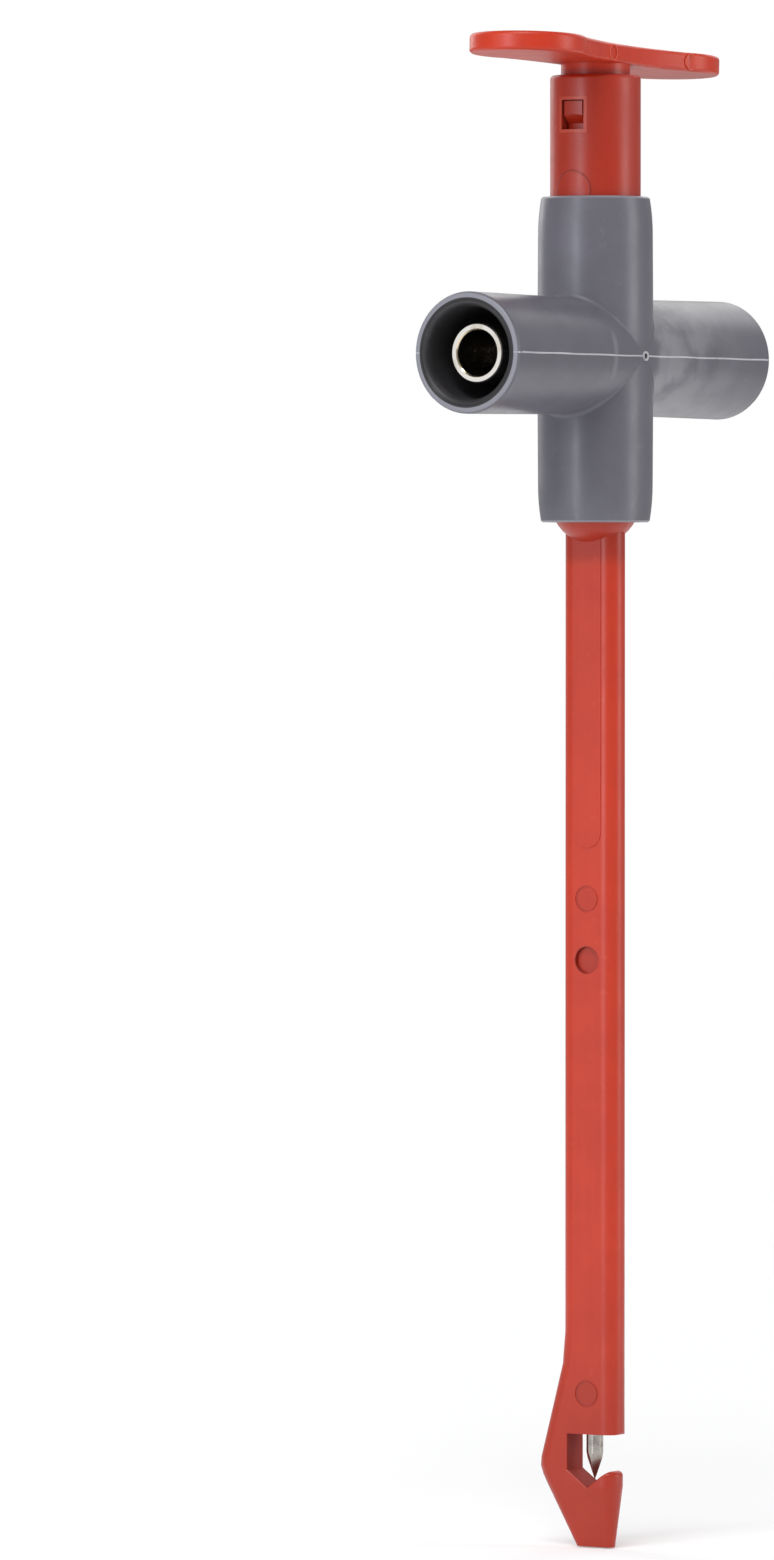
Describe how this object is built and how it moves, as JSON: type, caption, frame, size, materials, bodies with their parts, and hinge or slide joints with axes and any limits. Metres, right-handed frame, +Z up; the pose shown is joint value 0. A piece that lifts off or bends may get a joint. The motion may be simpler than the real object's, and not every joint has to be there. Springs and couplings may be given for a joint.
{
  "type": "piercing probe clip",
  "caption": "Spring-loaded piercing test clip: thumb handle, crossed socket housing, flat-sided shaft and hooked jaw that draws a wire onto a steel needle.",
  "frame": {"origin": "where the socket axis crosses the long axis, in the middle of the cross housing", "axes": "+Z up the long axis to the thumb handle, +Y along the rear socket, +X to the side that the hook's jaw opens to"},
  "size_m": [0.0106, 0.043, 0.1331],
  "materials": {
    "grey_plastic": "satin moulded, mid grey",
    "red_plastic": "satin moulded, brick red",
    "black_plastic": "matte moulded, black",
    "nickel_plate": "bright nickel plate on brass",
    "brass": "turned",
    "needle_steel": "ground point on a drawn rod",
    "spring_steel": "drawn wire"
  },
  "bodies": {
    "housing": {"cross_housing": "grey_plastic", "front_socket_liner": "black_plastic", "rear_socket_liner": "black_plastic", "front_socket_tube": "nickel_plate", "rear_socket_tube": "nickel_plate", "contact_block": "brass", "piercing_needle": "needle_steel", "return_spring": "spring_steel"},
    "plunger": {"hook_shaft": "red_plastic", "wing_handle": "red_plastic"}
  },
  "joints": [
    {"name": "plunger_press", "type": "slide", "parent": "housing", "child": "plunger", "axis": [0, 0, -1], "range_m": [0, 0.005], "stiffness_N_per_m": 400, "springref_m": -0.008, "deforming": ["return_spring"]}
  ]
}
